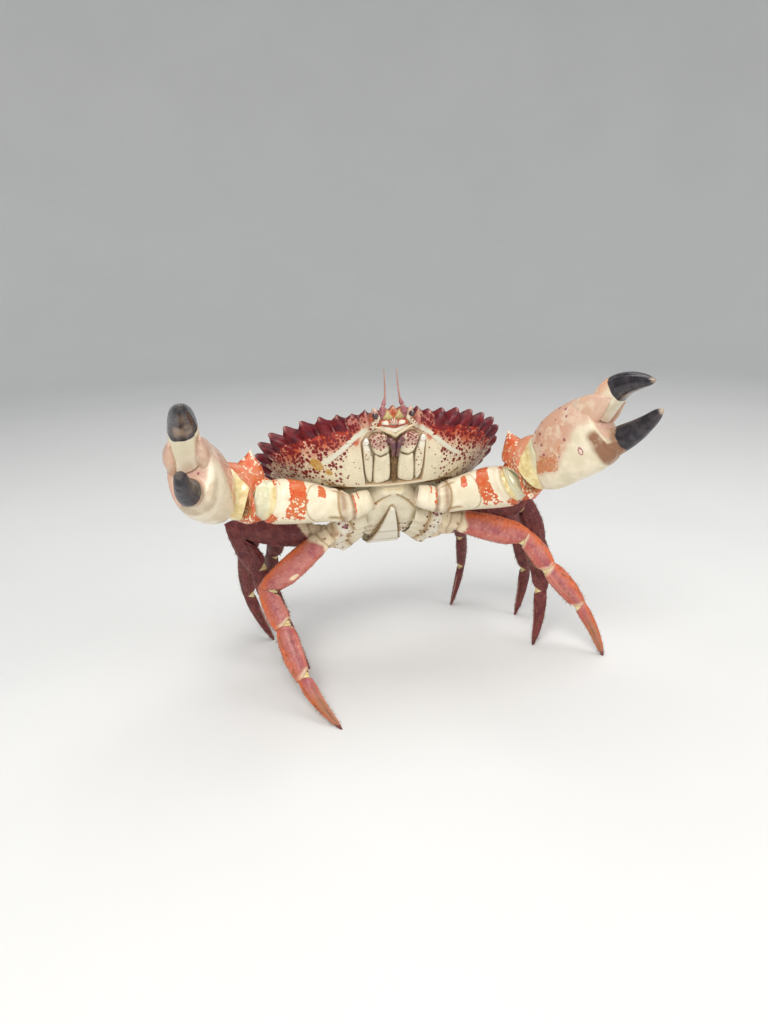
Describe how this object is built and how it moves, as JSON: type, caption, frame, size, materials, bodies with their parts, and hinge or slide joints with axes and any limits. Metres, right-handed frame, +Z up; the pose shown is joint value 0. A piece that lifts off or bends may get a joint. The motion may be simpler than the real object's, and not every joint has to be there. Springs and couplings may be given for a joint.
{
  "type": "rock crab",
  "caption": "Life-size still model of a red-spotted rock crab, reared up on its walking legs with its black-tipped claws spread and open.",
  "frame": {"origin": "middle of the whole model's box at floor level, between the feet", "axes": "+X to the crab's left, -Y the way the crab faces, +Z up"},
  "size_m": [0.275, 0.1902, 0.2036],
  "materials": {
    "shell": "satin, red-spotted cream beneath",
    "breast": "satin ivory with fine red dots",
    "jaw": "satin ivory",
    "eye": "glossy",
    "feeler": "satin, slender",
    "claw": "satin cream with rust bands",
    "finger": "glossy black",
    "leg": "granular dull red"
  },
  "bodies": {
    "root": {"carapace": "shell", "sternum": "breast", "abdomen": "breast", "maxilliped_right": "jaw", "eye_right": "eye", "antenna_right": "feeler", "antennule_right": "feeler", "claw_coxa_right": "claw", "claw_merus_right": "claw", "claw_carpus_right": "claw", "claw_palm_right": "claw", "claw_dactyl_right": "finger", "leg1_merus_right": "leg", "leg1_carpus_right": "leg", "leg1_propodus_right": "leg", "leg1_dactyl_right": "leg", "leg2_merus_right": "leg", "leg2_carpus_right": "leg", "leg2_propodus_right": "leg", "leg2_dactyl_right": "leg", "leg3_merus_right": "leg", "leg3_carpus_right": "leg", "leg3_propodus_right": "leg", "leg3_dactyl_right": "leg", "leg4_merus_right": "leg", "leg4_carpus_right": "leg", "leg4_propodus_right": "leg", "leg4_dactyl_right": "leg", "maxilliped_left": "jaw", "eye_left": "eye", "antenna_left": "feeler", "antennule_left": "feeler", "claw_coxa_left": "claw", "claw_merus_left": "claw", "claw_carpus_left": "claw", "claw_palm_left": "claw", "claw_dactyl_left": "finger", "leg1_merus_left": "leg", "leg1_carpus_left": "leg", "leg1_propodus_left": "leg", "leg1_dactyl_left": "leg", "leg2_merus_left": "leg", "leg2_carpus_left": "leg", "leg2_propodus_left": "leg", "leg2_dactyl_left": "leg", "leg3_merus_left": "leg", "leg3_carpus_left": "leg", "leg3_propodus_left": "leg", "leg3_dactyl_left": "leg", "leg4_merus_left": "leg", "leg4_carpus_left": "leg", "leg4_propodus_left": "leg", "leg4_dactyl_left": "leg"}
  },
  "joints": []
}
